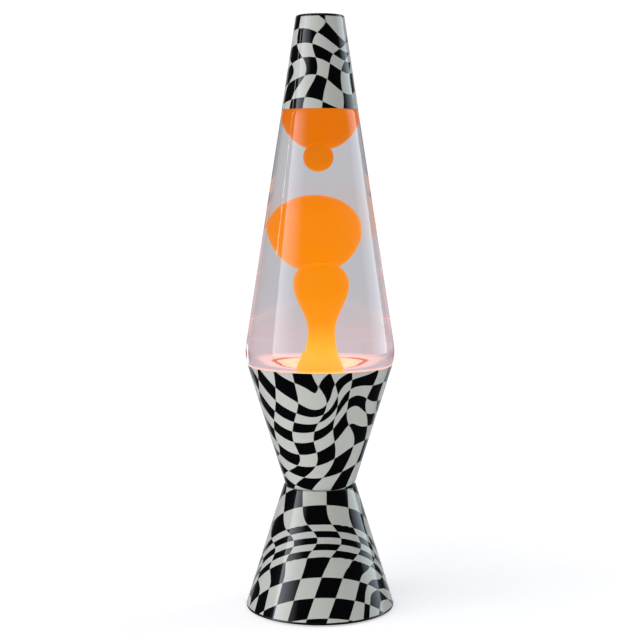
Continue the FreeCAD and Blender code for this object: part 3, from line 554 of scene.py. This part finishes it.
# ------------------------------------------------------------------ wax
def lump(name, centre, radii, ripple, rows=64, segs=96, mat="wax"):
    """A rounded lump: an ellipsoid with a few slow swellings."""
    rings = [(math.sin(math.pi * i / rows), -math.cos(math.pi * i / rows)) for i in range(rows + 1)]
    rings[0], rings[-1] = (0.0, -1.0), (0.0, 1.0)

    def shape(phi, r, z):
        x, y = r * np.cos(phi), r * np.sin(phi)
        k = np.ones_like(phi)
        for a, fx, fy, fz, ph in ripple:
            k = k + a * np.sin(fx * x + fy * y + fz * z + ph)
        return (centre[0] + radii[0] * x * k, centre[1] + radii[1] * y * k, centre[2] + radii[2] * z * k)

    return turned(name, rings, segs=segs, mats=[M[mat]], closed=False, shape=shape, sharp=180)


ball = lump("wax_ball_piece", (-1.0, -14.1, 281.5), (8.12, 7.95, 8.85), [(0.012, 2.1, 0.7, 1.3, 0.4)])
done(ball, "wax_ball", ["wax_ball"])
blob = lump("wax_blob_piece", (-2.3, 9.0, 234.4), (19.7, 18.8, 24.3), [(0.03, 1.6, 0.4, -1.8, 0.5), (0.02, 2.2, 1.4, 2.4, 2.0)], mat="blob")
done(blob, "wax_blob", ["wax_blob"])

crest_low = spline([(0.0, 285.6), (5.0, 286.2), (9.4, 288.7), (12.9, 292.6), (15.5, 296.9), (17.4, 301.4), (18.8, 305.6), (20.4, 309.6)], 44)
crest_up = path((20.4, 309.6), (20.6, 310.4, 0.3), (20.4, 311.6), (19.9, 313.6, 12.0), (17.9, 319.6), (0.0, 319.9))


def crest_shape(phi, r, z):
    k = 1 + 0.02 * np.sin(2 * phi + 0.6) * min(1.0, max(0.0, (309.0 - z) / 8.0))
    return r * np.cos(phi) * k, r * np.sin(phi) * k + 4.6 * max(0.0, 1 - r / 18.0) * min(1.0, max(0.0, (309.0 - z) / 8.0)), np.full_like(phi, z)


crest = turned("wax_crest_piece", crest_low + dense(crest_up, 3.0)[1:], segs=128, mats=[M["wax"]], closed=False, shape=crest_shape, sharp=60)
done(crest, "globe", ["wax_crest"])

# riser: a column whose middle line leans to the front as it climbs
LEAN = np.array([(140.0, 0.0), (152.0, 0.0), (158.0, -0.8), (166.0, -2.6), (176.0, -6.0), (186.0, -10.2), (195.0, -13.8), (203.0, -15.6), (210.5, -16.0), (218.0, -16.1)])
riser_pts = spline([(12.0, 141.0), (9.6, 148.0), (8.6, 154.0), (7.7, 160.0), (6.9, 166.5), (6.4, 173.0), (6.9, 179.0), (8.9, 186.0), (11.6, 192.5), (13.8, 198.5), (14.75, 204.0), (14.0, 209.5), (11.4, 213.8), (7.2, 216.6), (0.0, 217.7)], 110)


def riser_shape(phi, r, z):
    y0 = float(np.interp(z, LEAN[:, 0], LEAN[:, 1]))
    k = 1 + 0.02 * np.sin(2 * phi + z * 0.05)
    x0 = 0.3 + 0.5 * math.sin((z - 150) * 0.045)
    return r * np.cos(phi) * k + x0, r * np.sin(phi) * k + y0, np.full_like(phi, z)


riser = turned("wax_riser", riser_pts, segs=112, mats=[M["wax"]], closed=False, shape=riser_shape, sharp=180)
done(riser, "globe", ["wax_column"])
pool_pts = path((0.0, 133.9), (31.0, 132.1, 4.0), (34.7, 134.7, 2.0), (39.3, 149.6, 1.2), (38.3, 152.0)) + spline([(38.3, 152.0), (30.0, 152.3), (22.0, 152.8), (15.5, 153.5), (11.8, 154.8), (9.6, 157.4), (8.2, 161.4)], 30)[1:]
pool = turned("wax_pool", pool_pts, segs=128, mats=[M["pool"]], closed=False, sharp=60)
done(pool, "globe", ["wax_column"])

# ------------------------------------------------------------------ CAD pieces that are shown as they are
FINISH = {
    "crown_cap": "lacquer", "crown_liner": "liner", "pool_coil": "wire", "tie_plate": "zinc", "tie_screws": "zinc", "tie_nuts": "zinc",
    "holder_body": "phenolic", "holder_ring": "phenolic", "socket_shell": "brass", "centre_contact": "brass", "contact_spring": "wire",
    "terminal_strips": "brass", "terminal_screws": "brass", "bulb_envelope": "bulb", "bulb_stem": "bulb", "bulb_leads": "wire",
    "bulb_filament": "hot", "bulb_screw_shell": "shell", "bulb_insulator": "phenolic", "bulb_contact_tip": "shell",
    "bottom_cover": "cover", "rubber_feet": "rubber", "cord_grommet": "rubber",
}
for node, key in FINISH.items():
    me = NODES[node].data
    me.materials.clear()
    me.materials.append(M[key])

# ------------------------------------------------------------------ stage: pale floor, soft light, camera
scene = bpy.context.scene


def emitter(name, centre, size, facing, radiance, tint=(1, 1, 1), fall=0.0, crown=1.0):
    """A soft panel; fall makes its light fade across it, crown is how much of it is left at the upper edge."""
    me = bpy.data.meshes.new(name)
    w, hgt = size[0] / 2, size[1] / 2
    me.from_pydata([(-w, -hgt, 0), (w, -hgt, 0), (w, hgt, 0), (-w, hgt, 0)], [], [(0, 1, 2, 3)])
    uv = me.uv_layers.new(name="UVMap")
    uv.data.foreach_set("uv", [0, 0, 1, 0, 1, 1, 0, 1])
    t = Tree(name + "_light")
    s = t.split(t.coord("UV"))
    if fall > 0:
        across = t.math("POWER", t.math("SUBTRACT", 1.0, s[0]), fall)
    else:
        across = t.math("POWER", s[0], -fall) if fall else t.math("MULTIPLY_ADD", s[0], 0.0, 1.0)
    across = t.math("MULTIPLY", across, t.remap(s[1], 0.5, 0.95, 1.0, crown))
    em = t.node("ShaderNodeEmission")
    em.inputs["Color"].default_value = (*tint, 1)
    t.put(em.inputs["Strength"], t.math("MULTIPLY", across, radiance))
    back = t.node("ShaderNodeBsdfTransparent")
    geo = t.node("ShaderNodeNewGeometry")
    mixer = t.node("ShaderNodeMixShader")
    t.put(mixer.inputs[0], geo.outputs["Backfacing"])
    t.nt.links.new(em.outputs[0], mixer.inputs[1])
    t.nt.links.new(back.outputs[0], mixer.inputs[2])
    me.materials.append(t.surface(mixer.outputs[0]))
    o = bpy.data.objects.new(name, me)
    o.location = centre
    d = Vector(facing) - Vector(centre)
    o.rotation_mode = "QUATERNION"
    o.rotation_quaternion = d.to_track_quat("Z", "Y")
    scene.collection.objects.link(o)
    o.visible_camera = False
    return o


def around_lamp(az_deg, dist, height):
    """az 0 is the camera's side, negative to the left."""
    a = math.radians(az_deg)
    return (math.sin(a) * dist, -math.cos(a) * dist, height)


soft = emitter("key_soft", around_lamp(-46, 1.35, 0.85), (1.1, 1.7), (0, 0, 0.2), 1.7, (1.0, 0.99, 0.98))
soft.visible_glossy = False
soft.visible_transmission = False
emitter("key_box", around_lamp(-56.0, 1.35, 0.68), (1.12, 1.25), (0, 0, 0.28), 4.6, (0.88, 0.90, 1.0), fall=-1.3, crown=0.4)
emitter("key_strip", around_lamp(-91, 1.35, 0.78), (0.028, 0.68), (0, 0, 0.3), 10.0)
emitter("rim_panel", around_lamp(106, 1.3, 0.62), (1.0, 1.2), (0, 0, 0.2), 3.0, (0.76, 0.89, 1.0), fall=0.7)
top_light = emitter("top_panel", (-0.25, -0.1, 1.7), (1.0, 1.0), (0, 0, 0.1), 1.2)
top_light.visible_transmission = False

# floor: a wide pale disc that thins out into the backdrop
bpy.ops.mesh.primitive_circle_add(vertices=96, radius=3.0, fill_type="NGON", location=(0, 0, 0))
floor = bpy.context.object
floor.name = "floor"
t = Tree("pale_floor")
d = t.vmath("LENGTH", t.coord())
shade = t.principled(Base_Color=srgb(247, 247, 248), Roughness=0.8)
shade.inputs["Specular IOR Level"].default_value = 0.1
shade.inputs["Emission Color"].default_value = (1, 1, 1, 1)
shade.inputs["Emission Strength"].default_value = 0.57
clear = t.node("ShaderNodeBsdfTransparent")
mx = t.node("ShaderNodeMixShader")
t.put(mx.inputs[0], t.remap(d, 0.11, 0.34, 0.0, 1.0))
t.nt.links.new(shade.outputs[0], mx.inputs[1])
t.nt.links.new(clear.outputs[0], mx.inputs[2])
floor.data.materials.clear()
floor.data.materials.append(t.surface(mx.outputs[0]))
floor.visible_glossy = False
floor.visible_transmission = False

world = bpy.data.worlds.new("studio")
scene.world = world
world.use_nodes = True
nt = world.node_tree
nt.nodes.clear()
lp = nt.nodes.new("ShaderNodeLightPath")


def wmath(op, a, b):
    n = nt.nodes.new("ShaderNodeMath")
    n.operation = op
    for s, v in zip(n.inputs, (a, b)):
        if isinstance(v, bpy.types.NodeSocket):
            nt.links.new(v, s)
        else:
            s.default_value = v
    return n.outputs[0]


level = wmath("MULTIPLY", lp.outputs["Is Camera Ray"], 1.1)
way = nt.nodes.new("ShaderNodeTexCoord")
apart = nt.nodes.new("ShaderNodeSeparateXYZ")
nt.links.new(way.outputs["Generated"], apart.inputs[0])
below = wmath("LESS_THAN", apart.outputs[2], -0.02)      # the bright table all round sends light up
level = wmath("ADD", level, wmath("MULTIPLY", lp.outputs["Is Diffuse Ray"], wmath("ADD", wmath("MULTIPLY", below, 0.7), 0.13)))
astern = wmath("MULTIPLY", wmath("GREATER_THAN", apart.outputs[1], 0.80), 0.40)   # the bright backdrop, seen in the rims
mirrored = wmath("MULTIPLY", lp.outputs["Is Glossy Ray"], wmath("SUBTRACT", 1.0, lp.outputs["Is Transmission Ray"]))
level = wmath("ADD", level, wmath("ADD", wmath("MULTIPLY", mirrored, astern), wmath("MULTIPLY", lp.outputs["Is Glossy Ray"], 0.03)))
level = wmath("ADD", level, wmath("MULTIPLY", lp.outputs["Is Transmission Ray"], 0.53))
bg = nt.nodes.new("ShaderNodeBackground")
bg.inputs["Color"].default_value = (0.95, 0.94, 1.0, 1)
nt.links.new(level, bg.inputs["Strength"])
wo = nt.nodes.new("ShaderNodeOutputWorld")
nt.links.new(bg.outputs[0], wo.inputs["Surface"])

scene.view_settings.view_transform = "Standard"
cam_data = bpy.data.cameras.new("camera")
cam = bpy.data.objects.new("camera", cam_data)
cam.location = (0.0, -0.88137, 0.26675)
cam.rotation_euler = (math.radians(90 - 5.5246), 0, 0)
cam_data.lens = 79.96
cam_data.sensor_width = 36.0
cam_data.dof.use_dof = False
scene.collection.objects.link(cam)
scene.camera = cam
